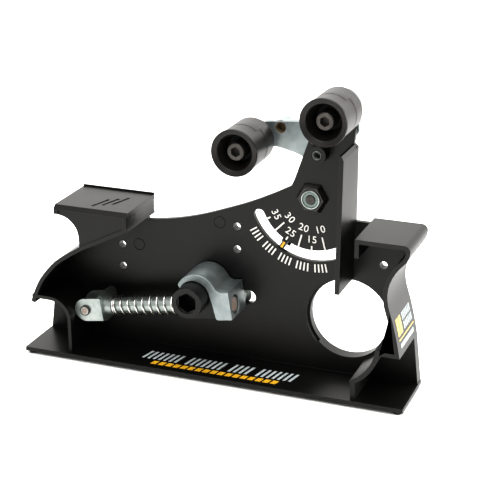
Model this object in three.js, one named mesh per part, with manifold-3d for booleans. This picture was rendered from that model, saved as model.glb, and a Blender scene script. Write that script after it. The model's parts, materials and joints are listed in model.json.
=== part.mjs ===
// Bench attachment that turns a powered knife sharpener into a small belt grinder.
// One moulded frame carries a tilting arm with two belt rollers, an angle scale, a round
// socket for the sharpener's drive head and a sprung carriage with a hex socket post.
// Millimetres. +X runs to the right along the base, +Y away from the open front, +Z up.
import * as THREE from 'three';
import { mergeVertices } from 'three/addons/utils/BufferGeometryUtils.js';
import Module from 'manifold-3d';

const wasm = await Module();
wasm.setup();

// ---- driving dimensions -------------------------------------------------------------
const BASE_LENGTH = 286;
const HALF_LENGTH = BASE_LENGTH / 2;
const FOOT_HEIGHT = 2;
const BASE_THICKNESS = 3;
const BASE_TOP = FOOT_HEIGHT + BASE_THICKNESS;
const BASE_FRONT = -41;
const WALL_FRONT = -37.5;
const WALL_REAR = 8.5;
const PLATFORM_FRONT = WALL_FRONT - 0.4;
const PLATFORM_REAR = 10;
const WEB = 3.5;
const WALL = 3;
const LEG_WALL = { left: 2.6, right: 3.2 };

const LEFT_PLATFORM = {
  left: -116, right: -59.5, top: 117.3, plate: 3.5, boxWall: 2.4, bevel: 2.6, lip: 1.2,
};
const RIGHT_PLATFORM = { left: 105.3, top: 120.4, lipBottom: 107.5 };
const MAST = {
  right: 94.4, thickness: 3.2, bottom: 78.3, top: 173.6,
  frontBottom: -34, frontTop: -30.4, chamferWidth: 1.6, chamferDrop: 3.1,
};

const PIVOT = { x: 63.6, z: 132.3 };
const HEAD_RADIUS = 59.4;
const PIVOT_BOLT_RADIUS = 4;
const NUT = { frontRadius: 9.3, rearRadius: 11.8, front: -4.7, recess: 7, recessDepth: 2 };

const SLOT = { radius: 42.25, halfWidth: 4.05, leftEnd: 66.5, rightEnd: -27 };
const HOLE = { radius: 2.9, boss: 5, bossRear: 7 };

const POINTER_ANGLE = 30;
const POINTER = {
  inner: 13, outer: 45.6, width: 7, tipWidth: 3.6, tipFrom: 38.9, sheet: 2, screw: 19, bore: 1.75,
};

const BORE = { x: 90.7, z: 46.3, radius: 28.7, stepRadius: 30.3, collar: 32.6, rear: 9.5 };
const BORE_SECTOR = { from: 223.5, to: 319.7 };

const ROLLER = { radius: 15.6, rim: 16.2, length: 35.6, rear: -5.4 };
const LEFT_ROLLER = { reach: 56.9, angle: 137.2, armEnd: 9.8 };
const UPPER_ROLLER = { reach: 68.4, angle: 73.3, armEnd: 10.8 };
const BEARING = { outer: 9.1, inner: 4.15, width: 5.8 };
const AXLE_RADIUS = 4;
const AXLE_HEAD = { radius: 6.1, setBack: 3.4, length: 10.5, hexFlats: 6, hexDepth: 5 };
const ARM = { front: 4.6, rear: 9.6, boss: 6.4, bossFront: -4.4 };
const ARM_HOLE = {
  x: 38.4, z: 178.2, radius: 3.9, boss: 5.3, bossRear: 17, ribLeft: 27, ribHalf: 3.4, ribRear: 13,
};

const INSERT = { x: 68.9, z: 165.4, bossRadius: 6.4, bossFront: -9, inner: 2.5, outer: 3.15 };
const KNOB = { radius: 15, front: 11.6, rear: 26.5, hub: 9, lobes: 6, fluteReach: 17.5, fluteRadius: 5.4 };

const STRUT = { x: -99, z: 35.8, tilt: 9, depth: -19 };
const BRACKET = { front: -28.5, rear: -1.5, ear: 8.6, sheet: 2.4, flange: 10.6, half: 10.4 };
const ROD = { radius: 5.9, collar: 6.9, bore: 6.1, endBore: 6.7 };
const SPRING = { outer: 7.5, wire: 0.62, from: 19.2, to: 76.9, turns: 12, closed: 1.5 };
const POST = { along: 88.5, up: 9.7, radius: 11.1, front: -42.5, hexFlats: 12.6 };
const SADDLE = {
  front: -29, rear: -1, inner: 11.5, outer: 15.1, left: 101.2, right: 114.7,
  top: 12.2, bottom: -8.4, fillet: 5,
};
const GUIDE = { along: 109.4, up: -1.9, radius: 4.1, slotHalf: 5.2, slotLeft: 94, slotRight: 117.3 };

// Whole object, front to rear, used to put the origin under the middle of its box.
const FRONT_LIMIT = POST.front;
const REAR_LIMIT = KNOB.rear;
const DEPTH_SHIFT = -(FRONT_LIMIT + REAR_LIMIT) / 2;

// ---- materials ----------------------------------------------------------------------
const finish = (color, roughness, metalness) =>
  new THREE.MeshStandardMaterial({ color, roughness, metalness });

const BODY_PLASTIC = [0x2b2b2a, 0.45, 0];
const ROLLER_PLASTIC = [0x1b1b1c, 0.25, 0];
const RUBBER = [0x191919, 0.8, 0];
const BLACK_STEEL = [0x232325, 0.4, 0.6];
const ZINC_CAST = [0xb9bcbb, 0.45, 0.8];
const ZINC_PLATE = [0xc3c9c9, 0.3, 0.9];
const SPRING_STEEL = [0xc9c9c4, 0.25, 0.9];

// ---- solid helpers ------------------------------------------------------------------
const radians = THREE.MathUtils.degToRad;

function toSolid(geometry) {
  const bare = geometry.clone();
  bare.deleteAttribute('normal');
  bare.deleteAttribute('uv');
  const merged = mergeVertices(bare, 1e-4);
  const corners = merged.index.array;
  const triangles = [];
  for (let i = 0; i < corners.length; i += 3) {
    const [a, b, c] = corners.subarray(i, i + 3);
    if (a !== b && b !== c && c !== a) triangles.push(a, b, c);
  }
  return new wasm.Manifold(new wasm.Mesh({
    numProp: 3,
    vertProperties: new Float32Array(merged.attributes.position.array),
    triVerts: new Uint32Array(triangles),
  }));
}

function toGeometry(solid) {
  const mesh = solid.getMesh();
  const geometry = new THREE.BufferGeometry();
  geometry.setAttribute('position', new THREE.BufferAttribute(mesh.vertProperties, 3));
  geometry.setIndex(new THREE.BufferAttribute(mesh.triVerts, 1));
  return geometry;
}

const join = (geometries) =>
  geometries.map(toSolid).reduce((whole, piece) => whole.add(piece));

const combine = (added, removed = []) =>
  toGeometry(removed.map(toSolid).reduce((whole, piece) => whole.subtract(piece), join(added)));

// A flat outline in X and Z, extruded from front to rear along Y.
function extrude(outline, front, rear, curveSegments = 12) {
  const geometry = new THREE.ExtrudeGeometry(outline, {
    depth: rear - front,
    bevelEnabled: false,
    curveSegments,
  });
  geometry.rotateX(Math.PI / 2);
  geometry.translate(0, rear, 0);
  return geometry;
}

const polygon = (points) => new THREE.Shape(points.map(([x, z]) => new THREE.Vector2(x, z)));

function box(x0, x1, y0, y1, z0, z1) {
  const geometry = new THREE.BoxGeometry(x1 - x0, y1 - y0, z1 - z0);
  geometry.translate((x0 + x1) / 2, (y0 + y1) / 2, (z0 + z1) / 2);
  return geometry;
}

function cylinder(x, z, radius, front, rear, segments = 24) {
  const geometry = new THREE.CylinderGeometry(radius, radius, rear - front, segments);
  geometry.translate(x, (front + rear) / 2, z);
  return geometry;
}

// A profile of [radius, height] turned about Y; one that doesn't start on the axis is closed.
function lathe(profile, segments) {
  const points = profile.map(([radius, height]) => new THREE.Vector2(radius, height));
  if (points[0].x > 0) points.push(points[0].clone());
  return new THREE.LatheGeometry(points, segments);
}

function turned(x, z, profile, segments = 28) {
  const geometry = lathe(profile, segments);
  geometry.translate(x, 0, z);
  return geometry;
}

const ring = (x, z, inner, outer, front, rear, segments = 24) =>
  turned(x, z, [[inner, front], [outer, front], [outer, rear], [inner, rear]], segments);

function hexPrism(x, z, acrossFlats, front, rear, turn = 0) {
  const geometry = new THREE.CylinderGeometry(
    acrossFlats / Math.sqrt(3), acrossFlats / Math.sqrt(3), rear - front, 6,
  );
  geometry.rotateY(turn);
  geometry.translate(x, (front + rear) / 2, z);
  return geometry;
}

function arcPoints(x, z, radius, fromDegrees, toDegrees, steps) {
  return Array.from({ length: steps + 1 }, (_, i) => {
    const angle = radians(fromDegrees + ((toDegrees - fromDegrees) * i) / steps);
    return [x + radius * Math.cos(angle), z + radius * Math.sin(angle)];
  });
}

function smooth(points, steps) {
  const curve = new THREE.SplineCurve(points.map(([x, z]) => new THREE.Vector2(x, z)));
  return curve.getPoints(steps).map((point) => [point.x, point.y]);
}

// A wall that follows a path; its thickness lies to the right of the direction of travel.
function wall(path, thickness) {
  const points = path.map(([x, z]) => new THREE.Vector2(x, z));
  const normals = points.slice(1).map((point, i) => {
    const along = point.clone().sub(points[i]).normalize();
    return new THREE.Vector2(along.y, -along.x);
  });
  const inner = points.map((point, i) => {
    const before = normals[Math.max(i - 1, 0)];
    const after = normals[Math.min(i, normals.length - 1)];
    const middle = before.clone().add(after).normalize();
    return point.clone().addScaledVector(middle, thickness / middle.dot(before));
  });
  return new THREE.Shape([...points, ...inner.reverse()]);
}

// A slot with round ends between two points.
function slotOutline(x0, z0, x1, z1, halfWidth, steps = 8) {
  const heading = THREE.MathUtils.radToDeg(Math.atan2(z1 - z0, x1 - x0));
  return polygon([
    ...arcPoints(x1, z1, halfWidth, heading - 90, heading + 90, steps),
    ...arcPoints(x0, z0, halfWidth, heading + 90, heading + 270, steps),
  ]);
}

// A slot that follows an arc about the pivot; angles are counted from straight down,
// clockwise as seen from the front.
function arcSlotOutline(radius, halfWidth, leftEnd, rightEnd) {
  const toMath = (angle) => 270 - angle;
  const at = (angle, r) => arcPoints(PIVOT.x, PIVOT.z, r, toMath(angle), toMath(angle), 1)[0];
  const [leftX, leftZ] = at(leftEnd, radius);
  const [rightX, rightZ] = at(rightEnd, radius);
  const from = toMath(leftEnd);
  const to = toMath(rightEnd);
  return polygon([
    ...arcPoints(PIVOT.x, PIVOT.z, radius + halfWidth, from, to, 24),
    ...arcPoints(rightX, rightZ, halfWidth, to, to + 180, 8).slice(1, -1),
    ...arcPoints(PIVOT.x, PIVOT.z, radius - halfWidth, to, from, 24),
    ...arcPoints(leftX, leftZ, halfWidth, from + 180, from + 360, 8).slice(1, -1),
  ]);
}

function atPivot({ reach, angle }) {
  return {
    x: PIVOT.x + reach * Math.cos(radians(angle)),
    z: PIVOT.z + reach * Math.sin(radians(angle)),
  };
}

// ---- outlines of the moulded frame --------------------------------------------------
const LEFT_TIP = [-138.3, 40.8];
const RIGHT_TIP = [138.6, 39.8];
const BOX_CORNER = [-97.6, 87.8];
const BOX_FLOOR_END = [-60, 106.8];

const leftRim = smooth(
  [LEFT_TIP, [-135.2, 49], [-129.3, 60.3], [-118.6, 73.1], [-109, 80.4], BOX_CORNER], 16,
);
const leftLeg = [
  [-109.3, BASE_TOP - 1],
  ...arcPoints(-123.7, 29.2, 14.4, 0, 90, 8),
  [LEFT_TIP[0] + 1, 43.6],
];
const boxLeftArc = smooth(
  [[-116, 110.6], [-108.5, 109.3], [-103.4, 106.2], [-99.6, 101.6], [-97.9, 96], BOX_CORNER], 10,
);
const rightWall = smooth(
  [
    [143, 115.5], [141.2, 109.7], [134.1, 101.2], [129.4, 90.5], [129, 79], [133, 65], [136.2, 52],
    RIGHT_TIP,
  ],
  20,
);
const rightShell = [
  [RIGHT_PLATFORM.left, RIGHT_PLATFORM.lipBottom],
  [RIGHT_PLATFORM.left, RIGHT_PLATFORM.top],
  ...arcPoints(138.6, RIGHT_PLATFORM.top - 4.4, 4.4, 90, 0, 5),
  ...rightWall.slice(1),
  [124, RIGHT_TIP[1]],
];
const rightLeg = [
  ...arcPoints(BORE.x, BORE.z, 34.2, -4, -60, 12),
  [108.2, 15],
  [108.2, BASE_TOP - 1],
];
const webTop = smooth(
  [
    [-60, 101.2], [-38.9, 104.7], [-20.4, 109.5], [-2.2, 115.9], [18, 123.9], [34.5, 131.8],
    [48, 139],
  ],
  18,
);

function webOutline() {
  const headLeft = 87.2;
  const headRight = 60.2;
  return polygon([
    [-HALF_LENGTH, BASE_TOP - 1],
    LEFT_TIP,
    ...leftRim.slice(1),
    [BOX_FLOOR_END[0] - 2, BOX_FLOOR_END[1] - 2],
    ...webTop,
    [50.2, 143.6],
    [59.7, 171.1],
    ...arcPoints(PIVOT.x, PIVOT.z, HEAD_RADIUS, headLeft, headRight, 6),
    [MAST.right - 2.4, MAST.top],
    [MAST.right, MAST.top - 2],
    [MAST.right, 119.3],
    [RIGHT_PLATFORM.left + 1, 119.3],
    [138.6, 119.3],
    ...rightWall.slice(2),
    [HALF_LENGTH - 0.4, BASE_TOP - 1],
  ].reverse());
}

const THROUGH_HOLES = [[-81.6, 79.2], [-81.6, 62.6], [8.1, 104.4], [8.1, 87.4], [115.2, 90.1]];

function mainBody() {
  const platform = LEFT_PLATFORM;
  const plateBottom = platform.top - platform.plate;
  const guideSlot = [
    ...strutPoint(GUIDE.slotLeft, GUIDE.up),
    ...strutPoint(GUIDE.slotRight, GUIDE.up),
  ];
  const added = [
    box(-HALF_LENGTH, HALF_LENGTH, BASE_FRONT, WALL_REAR, FOOT_HEIGHT, BASE_TOP),
    extrude(webOutline(), 0, WEB),
    // left foot wall, rim and the closed box under the left platform
    extrude(wall(leftLeg, LEG_WALL.left), WALL_FRONT, WALL_REAR),
    extrude(wall([...leftRim, BOX_FLOOR_END], WALL), WALL_FRONT, WALL_REAR),
    extrude(wall([...boxLeftArc].reverse(), platform.boxWall), WALL_FRONT + 1, WALL_REAR),
    extrude(polygon([...boxLeftArc, [-97.6, 86], [-61, 105], [-60.4, 114.5], [-115.6, 114.5]]),
      WALL_FRONT + 0.9, WALL_FRONT + 3.4),
    box(platform.left, platform.right, PLATFORM_FRONT, PLATFORM_REAR, plateBottom, platform.top),
    box(platform.left, platform.right, PLATFORM_REAR - platform.lip, PLATFORM_REAR,
      platform.top - 1, platform.top + platform.lip),
    box(platform.right - WALL, platform.right - 0.5, WALL_FRONT, PLATFORM_REAR, 103.6, plateBottom + 1),
    box(platform.left, platform.left + WALL, PLATFORM_FRONT, PLATFORM_REAR, 110.8, plateBottom + 1),
    // upright wall beside the belt run
    mast(),
    // right platform, its outer wall and the right foot wall
    extrude(wall(rightShell, WALL), WALL_FRONT, WALL_REAR),
    extrude(wall(rightLeg, LEG_WALL.right), WALL_FRONT, WALL_REAR),
    // rear flanges at both ends
    extrude(wall([[-HALF_LENGTH, BASE_TOP - 1], LEFT_TIP, leftRim[1]], WALL), 1, WALL_REAR),
    extrude(wall([rightWall.at(-2), RIGHT_TIP, [HALF_LENGTH - 0.4, BASE_TOP - 1]], WALL), 1, WALL_REAR),
    // collar of the round drive socket, and the boss of the threaded insert
    cylinder(BORE.x, BORE.z, BORE.collar, 1, BORE.rear, 56),
    cylinder(INSERT.x, INSERT.z, INSERT.bossRadius, INSERT.bossFront, 1),
    cylinder(PIVOT.x, PIVOT.z, 8.4, -0.2, WEB),
    ...THROUGH_HOLES.map(([x, z]) => cylinder(x, z, HOLE.boss, 1, HOLE.bossRear, 16)),
    extrude(slotOutline(...guideSlot, GUIDE.slotHalf + 2.4), 1, 5.5),
    cylinder(STRUT.x, STRUT.z, 7, -1, WEB, 24),
  ];
  const frontCut = -60;
  const rearCut = 30;
  const removed = [
    extrude(arcSlotOutline(SLOT.radius, SLOT.halfWidth, SLOT.leftEnd, SLOT.rightEnd), -1, rearCut),
    cylinder(BORE.x, BORE.z, BORE.radius, -5, rearCut, 56),
    boreStep(),
    extrude(slotOutline(...guideSlot, GUIDE.slotHalf), -1, rearCut),
    cylinder(PIVOT.x, PIVOT.z, PIVOT_BOLT_RADIUS + 0.3, -5, rearCut, 24),
    cylinder(INSERT.x, INSERT.z, INSERT.outer + 0.15, frontCut, -2, 20),
    cylinder(STRUT.x, STRUT.z, 3.1, -5, rearCut, 20),
    ...THROUGH_HOLES.map(([x, z]) => cylinder(x, z, HOLE.radius, -5, rearCut, 16)),
    platformBevel(),
    // the box under the left platform is open to the rear
    extrude(polygon([
      [-94.5, 93], [-63.4, 108], [-63.4, 112.8], [-103, 112.8], [-98, 107], [-95.3, 101],
    ]), -5, rearCut),
  ];
  return combine(added, removed);
}

// Slope along the front edge of the left platform.
function platformBevel() {
  const { left, right, top, bevel } = LEFT_PLATFORM;
  const side = 2 * bevel;
  const reach = side / 2 * Math.SQRT1_2;
  const geometry = new THREE.BoxGeometry(right - left + 2, side, side);
  geometry.rotateX(Math.PI / 4);
  geometry.translate((left + right) / 2, PLATFORM_FRONT + bevel / 2 - reach, top - bevel / 2 + reach);
  return geometry;
}

// The front of the drive socket is wider, except over its lower sector.
function boreStep() {
  const { x, z, radius, stepRadius } = BORE;
  const turnedFrom = BORE_SECTOR.to;
  const turnedTo = BORE_SECTOR.from + 360;
  return extrude(polygon([
    ...arcPoints(x, z, stepRadius, turnedFrom, turnedTo, 48),
    ...arcPoints(x, z, radius - 1, turnedTo, turnedFrom, 48),
  ]), -1, WEB);
}

// The upright wall: its front edge leans back, and its outer top edge is bevelled.
function mast() {
  const { right, thickness, bottom, top, frontBottom, frontTop, chamferWidth, chamferDrop } = MAST;
  const section = [
    [right - thickness, bottom],
    [right, bottom],
    [right, top - chamferDrop],
    [right - chamferWidth, top],
    [right - thickness, top],
  ];
  const geometry = extrude(polygon(section), frontBottom, 1);
  const places = geometry.attributes.position;
  const lean = (frontTop - frontBottom) / (top - bottom);
  for (let i = 0; i < places.count; i += 1) {
    if (places.getY(i) < 0) places.setY(i, frontBottom + (places.getZ(i) - bottom) * lean);
  }
  return geometry;
}

// Point in the frame for a place given along and across the tilted strut.
function strutPoint(along, up) {
  const tilt = radians(STRUT.tilt);
  return [
    STRUT.x + along * Math.cos(tilt) - up * Math.sin(tilt),
    STRUT.z + along * Math.sin(tilt) + up * Math.cos(tilt),
  ];
}

// ---- tilting arm --------------------------------------------------------------------
const leftAxis = atPivot(LEFT_ROLLER);
const upperAxis = atPivot(UPPER_ROLLER);

function rollerArm() {
  const hole = ARM_HOLE;
  const outline = polygon([
    ...arcPoints(leftAxis.x, leftAxis.z, LEFT_ROLLER.armEnd, 74, 300, 14),
    ...smooth([[35, 164.7], [44.7, 162.7], [53.2, 160.1], [56, 157.2], [54.8, 150.5], [53, 144.5]], 10),
    ...arcPoints(PIVOT.x, PIVOT.z, 14, 152, 232, 5),
    [PIVOT.x - 16.4, PIVOT.z - 17.8],
    [PIVOT.x - 8, PIVOT.z - 22.6],
    ...arcPoints(PIVOT.x, PIVOT.z, 14, 262, 372, 8),
    ...smooth([[80, 150], [86, 168], [94, 181]], 5),
    ...arcPoints(upperAxis.x, upperAxis.z, UPPER_ROLLER.armEnd, -22, 188, 14),
    ...smooth([[65, 188.6], [59, 184.8], [52, 183.8], [35.5, 182.4], [28.5, 181.6]], 8),
  ]);
  const added = [
    extrude(outline, ARM.front, ARM.rear),
    // boss and rib behind the threaded hole
    cylinder(hole.x, hole.z, hole.boss, ARM.front + 1, hole.bossRear),
    extrude(slotOutline(hole.ribLeft, hole.z - 0.6, hole.x, hole.z, hole.ribHalf, 6),
      ARM.front + 1, hole.ribRear),
    ...[leftAxis, upperAxis].map(({ x, z }) => cylinder(x, z, ARM.boss, ARM.bossFront, ARM.rear - 1)),
    ...[leftAxis, upperAxis].map(({ x, z }) => cylinder(x, z, 8, ARM.front + 1, ARM.rear + 2)),
  ];
  const removed = [
    ...[leftAxis, upperAxis].map(({ x, z }) => cylinder(x, z, AXLE_RADIUS + 0.15, -20, 40)),
    cylinder(PIVOT.x, PIVOT.z, PIVOT_BOLT_RADIUS + 0.1, -20, 40),
    cylinder(hole.x, hole.z, hole.radius, -20, hole.bossRear - 3, 20),
    cylinder(...pointerPlace(POINTER.screw), POINTER.bore, -20, 40, 12),
  ];
  return combine(added, removed);
}

function pointerPlace(reach) {
  const angle = radians(270 - POINTER_ANGLE);
  return [PIVOT.x + reach * Math.cos(angle), PIVOT.z + reach * Math.sin(angle)];
}

function pointer() {
  const { inner, outer, width, tipWidth, tipFrom, sheet } = POINTER;
  const front = ARM.rear + 0.1;
  const rear = front + sheet;
  const bar = (from, to, across, y0, y1) => {
    const geometry = new THREE.BoxGeometry(across, y1 - y0, to - from);
    geometry.rotateY(radians(POINTER_ANGLE));
    const [x, z] = pointerPlace((from + to) / 2);
    geometry.translate(x, (y0 + y1) / 2, z);
    return geometry;
  };
  return combine(
    [bar(inner, outer, width, front, rear), bar(tipFrom, outer, tipWidth, 0.4, rear - 0.5)],
    [cylinder(...pointerPlace(POINTER.screw), POINTER.bore, -20, 40, 12)],
  );
}

function pointerScrew() {
  const [x, z] = pointerPlace(POINTER.screw);
  const head = ARM.rear + 2.2;
  return combine(
    [cylinder(x, z, 1.6, ARM.front + 0.3, head + 0.5, 12), cylinder(x, z, 3, head, head + 1.8, 16)],
    [hexPrism(x, z, 2.5, head + 0.8, head + 3)],
  );
}

// ---- rollers ------------------------------------------------------------------------
function roller({ x, z }) {
  const at = (depth) => ROLLER.rear - ROLLER.length + depth;
  const pocket = BEARING.outer + 0.12;
  return turned(x, z, [
    [12.8, at(1.2)], [15.6, at(0)], [ROLLER.rim, at(0.6)], [ROLLER.rim, at(2.6)],
    [ROLLER.radius, at(3.4)], [ROLLER.radius, at(ROLLER.length)],
    [pocket, at(ROLLER.length)], [pocket, at(ROLLER.length - 6)], [7.6, at(ROLLER.length - 6)],
    [7.6, at(20)], [pocket, at(20)], [pocket, at(9.4)], [12.2, at(5)],
  ], 36);
}

function bearing({ x, z }, depth) {
  const front = ROLLER.rear - ROLLER.length + depth;
  const { outer, inner, width } = BEARING;
  return ring(x, z, inner, outer, front, front + width, 36);
}

function bearingSpacer({ x, z }) {
  const front = ROLLER.rear - ROLLER.length + 20.1;
  const rear = ROLLER.rear - 6.2;
  return ring(x, z, BEARING.inner, 5.6, front, rear);
}

function axleScrew({ x, z }) {
  const { radius, setBack, length, hexFlats, hexDepth } = AXLE_HEAD;
  const chamfer = 0.6;
  const headFront = ROLLER.rear - ROLLER.length + setBack;
  const headRear = headFront + length;
  return combine(
    [
      turned(x, z, [
        [0, headFront], [radius - chamfer, headFront], [radius, headFront + chamfer],
        [radius, headRear], [0, headRear],
      ], 24),
      cylinder(x, z, AXLE_RADIUS, headRear - 0.5, ARM.rear + 1.9),
    ],
    [hexPrism(x, z, hexFlats, headFront - 1, headFront + hexDepth)],
  );
}

function axleWasher({ x, z }) {
  return ring(x, z, AXLE_RADIUS + 0.15, 6.2, ROLLER.rear + 0.05, ARM.bossFront - 0.05);
}

// ---- pivot hardware -----------------------------------------------------------------
function pivotBolt() {
  return combine([
    cylinder(PIVOT.x, PIVOT.z, PIVOT_BOLT_RADIUS - 0.1, NUT.front + 0.6, KNOB.rear - 4, 24),
    cylinder(PIVOT.x, PIVOT.z, PIVOT_BOLT_RADIUS - 0.8, NUT.front + 0.1, NUT.front + 1, 24),
  ]);
}

// A hexagon that widens towards the frame, with two corners level with its centre.
function lockNut() {
  const rear = -0.3;
  const body = new THREE.CylinderGeometry(NUT.rearRadius, NUT.frontRadius, rear - NUT.front, 6);
  body.rotateY(Math.PI / 6);
  body.translate(PIVOT.x, (NUT.front + rear) / 2, PIVOT.z);
  return combine(
    [body],
    [
      cylinder(PIVOT.x, PIVOT.z, NUT.recess, NUT.front - 1, NUT.front + NUT.recessDepth, 32),
      cylinder(PIVOT.x, PIVOT.z, PIVOT_BOLT_RADIUS + 0.1, -20, 5, 24),
    ],
  );
}

function threadedInsert() {
  const { x, z, inner, outer, bossFront } = INSERT;
  return ring(x, z, inner, outer, bossFront - 0.2, -2.2, 20);
}

const lockRing = () => turned(PIVOT.x, PIVOT.z, [
  [4.1, NUT.front], [5.2, NUT.front], [5.8, NUT.front - 0.7], [6.4, NUT.front - 0.7],
  [6.8, NUT.front - 0.3],
  [6.8, NUT.front + NUT.recessDepth - 0.1], [4.1, NUT.front + NUT.recessDepth - 0.1],
]);

function lockKnob() {
  const { radius, front, rear, hub, lobes, fluteReach, fluteRadius } = KNOB;
  const flutes = Array.from({ length: lobes }, (_, i) => {
    const angle = (i * 2 * Math.PI) / lobes;
    const x = PIVOT.x + fluteReach * Math.cos(angle);
    const z = PIVOT.z + fluteReach * Math.sin(angle);
    return cylinder(x, z, fluteRadius, front + 3, rear + 5, 18);
  });
  return combine(
    [turned(PIVOT.x, PIVOT.z, [
      [0, front], [hub, front], [hub, front + 2.5], [radius, front + 3.5], [radius, rear - 2],
      [radius - 2, rear], [0, rear],
    ], 36)],
    [cylinder(PIVOT.x, PIVOT.z, PIVOT_BOLT_RADIUS + 0.05, front - 2, rear - 3.5, 24), ...flutes],
  );
}

// ---- sprung strut, modelled along its own X axis, about its anchor pin -----------------

// The bracket's cross plate, with rounded corners, lying across the strut.
function flangePlate(left, right, front, rear, half) {
  const corner = 6;
  const outline = polygon([
    ...arcPoints(rear - corner, half - corner, corner, 0, 90, 5),
    ...arcPoints(front + corner, half - corner, corner, 90, 180, 5),
    ...arcPoints(front + corner, corner - half, corner, 180, 270, 5),
    ...arcPoints(rear - corner, corner - half, corner, 270, 360, 5),
  ]);
  const geometry = new THREE.ExtrudeGeometry(outline, { depth: right - left, bevelEnabled: false });
  geometry.applyMatrix4(new THREE.Matrix4().set(0, 0, 1, left, 1, 0, 0, 0, 0, 1, 0, 0, 0, 0, 0, 1));
  return geometry;
}

function strutBracket() {
  const { front, rear, ear, sheet, flange, half } = BRACKET;
  const rearEar = -9.5;
  const earOutline = polygon([
    ...arcPoints(0, 0, ear, 90, 270, 14),
    [flange + sheet, -ear],
    [flange + sheet, ear],
  ]);
  return combine(
    [
      extrude(earOutline, front, front + sheet),
      extrude(earOutline, rearEar - sheet, rearEar),
      flangePlate(flange, flange + sheet, front, rear, half),
    ],
    [cylinder(0, 0, 3.2, -40, 5, 20), rodCut(4.4, flange - 5, flange + 5)],
  );
}

function anchorPin() {
  const { front } = BRACKET;
  return combine(
    [
      cylinder(0, 0, 3, front - 0.6, WEB + 2.6, 20),
      turned(0, 0, [
        [0, front - 1.6], [3, front - 1.6], [3.8, front - 1], [3.8, front - 0.1], [0, front - 0.1],
      ], 24),
    ],
    [cylinder(0, 0, 1.4, front - 3, front - 1, 16)],
  );
}

const anchorSleeve = () => ring(0, 0, 3.15, 5, -9.3, -1.2, 24);

const anchorClip = () => ring(0, 0, 3.15, 6, WEB + 0.2, WEB + 1.4, 24);

// The rod has a riveted neck in the bracket's plate, a collar for the spring and a bevelled right end.
function strutRod() {
  const { flange, sheet } = BRACKET;
  const collarRight = SPRING.from - 0.2;
  const tip = SADDLE.right - 0.9;
  const neck = 4.2;
  const geometry = lathe([
    [0, flange - 1.6], [5.4, flange - 1.6], [6, flange - 1], [6, flange - 0.1], [neck, flange - 0.1],
    [neck, flange + sheet + 0.1], [ROD.collar, flange + sheet + 0.1], [ROD.collar, collarRight],
    [ROD.radius, collarRight],
    [ROD.radius, tip - 0.7], [ROD.radius - 0.7, tip], [0, tip],
  ], 28);
  geometry.rotateZ(-Math.PI / 2);
  geometry.translate(0, STRUT.depth, 0);
  return combine([geometry]);
}

// Round wire wound with closed coils at both ends.
class WireCurve extends THREE.Curve {
  getPoint(t, target = new THREE.Vector3()) {
    const { outer, wire, from, to, turns, closed } = SPRING;
    const turn = t * turns;
    const open = turns - 2 * closed;
    const closedPitch = 2 * wire + 0.12;
    const openPitch = (to - from - 2 * wire - 2 * closed * closedPitch) / open;
    const first = Math.min(turn, closed);
    const middle = THREE.MathUtils.clamp(turn - closed, 0, open);
    const last = Math.max(turn - closed - open, 0);
    const x = from + wire + (first + last) * closedPitch + middle * openPitch;
    const angle = turn * 2 * Math.PI;
    const radius = outer - wire;
    return target.set(x, STRUT.depth + radius * Math.cos(angle), radius * Math.sin(angle));
  }
}

function strutSpring() {
  const sides = 5;
  const stepsPerTurn = 11;
  const section = new THREE.Shape(Array.from({ length: sides }, (_, i) => {
    const angle = (i * 2 * Math.PI) / sides;
    return new THREE.Vector2(SPRING.wire * Math.cos(angle), SPRING.wire * Math.sin(angle));
  }));
  return new THREE.ExtrudeGeometry(section, {
    steps: Math.round(SPRING.turns * stepsPerTurn),
    extrudePath: new WireCurve(),
    bevelEnabled: false,
  });
}

function rodCut(radius, from, to) {
  const geometry = new THREE.CylinderGeometry(radius, radius, to - from, 28);
  geometry.rotateZ(Math.PI / 2);
  geometry.translate((from + to) / 2, STRUT.depth, 0);
  return geometry;
}

// Black carrier: a round tube with a hex socket on a block that slides on the rod.
function socketPost() {
  const { along: x, up, radius, front, hexFlats } = POST;
  const left = 77.2;
  const right = SADDLE.left - 0.3;
  const bottom = -7.6;
  const blockTop = up - 1;
  return combine(
    [
      cylinder(x, up, radius, front, SADDLE.rear - 0.2, 40),
      extrude(polygon([
        [left, bottom + 3], [left + 3, bottom], [right, bottom], [right, blockTop - 4],
        [x + radius - 1, blockTop], [x - radius + 1, blockTop], [left, blockTop - 5],
      ]), SADDLE.front + 2, SADDLE.rear - 0.2),
    ],
    [
      hexPrism(x, up, hexFlats, front - 1, front + 13, Math.PI / 20),
      cylinder(x, up, 7.6, front - 1, front + 1.2, 32),
      rodCut(ROD.bore, 60, 130),
    ],
  );
}

// Zinc casting: a hook over the post and a block that the rod runs through.
function postSaddle() {
  const { front, rear, inner, outer, left, right, top, bottom, fillet } = SADDLE;
  const hookX = POST.along + 1.9;
  const hookZ = POST.up + 1.3;
  const filletZ = top + fillet;
  const rise = filletZ - hookZ;
  const filletX = hookX + Math.sqrt((outer + fillet) ** 2 - rise ** 2);
  const meeting = THREE.MathUtils.radToDeg(Math.asin(rise / (outer + fillet)));
  const hook = polygon([
    ...arcPoints(POST.along, POST.up, inner, 0, 148, 16),
    ...arcPoints(hookX, hookZ, outer, 150, meeting, 18),
    ...arcPoints(filletX, filletZ, fillet, 180 + meeting, 270, 5).slice(1),
    [right, top],
    [right, bottom],
    ...arcPoints(left + 3, bottom + 2, 2, 270, 180, 3),
    [left, POST.up - 6],
  ].reverse());
  return combine([extrude(hook, front, rear)], [rodCut(ROD.endBore, 90, 130)]);
}

function guidePin() {
  const { along: x, up, radius } = GUIDE;
  return combine(
    [
      cylinder(x, up, radius, SADDLE.rear + 0.1, 6.4, 24),
      cylinder(x, up, radius + 1.4, SADDLE.rear + 0.1, -0.3, 24),
    ],
    [cylinder(x, up, 1.7, 0, 10, 12)],
  );
}

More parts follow.
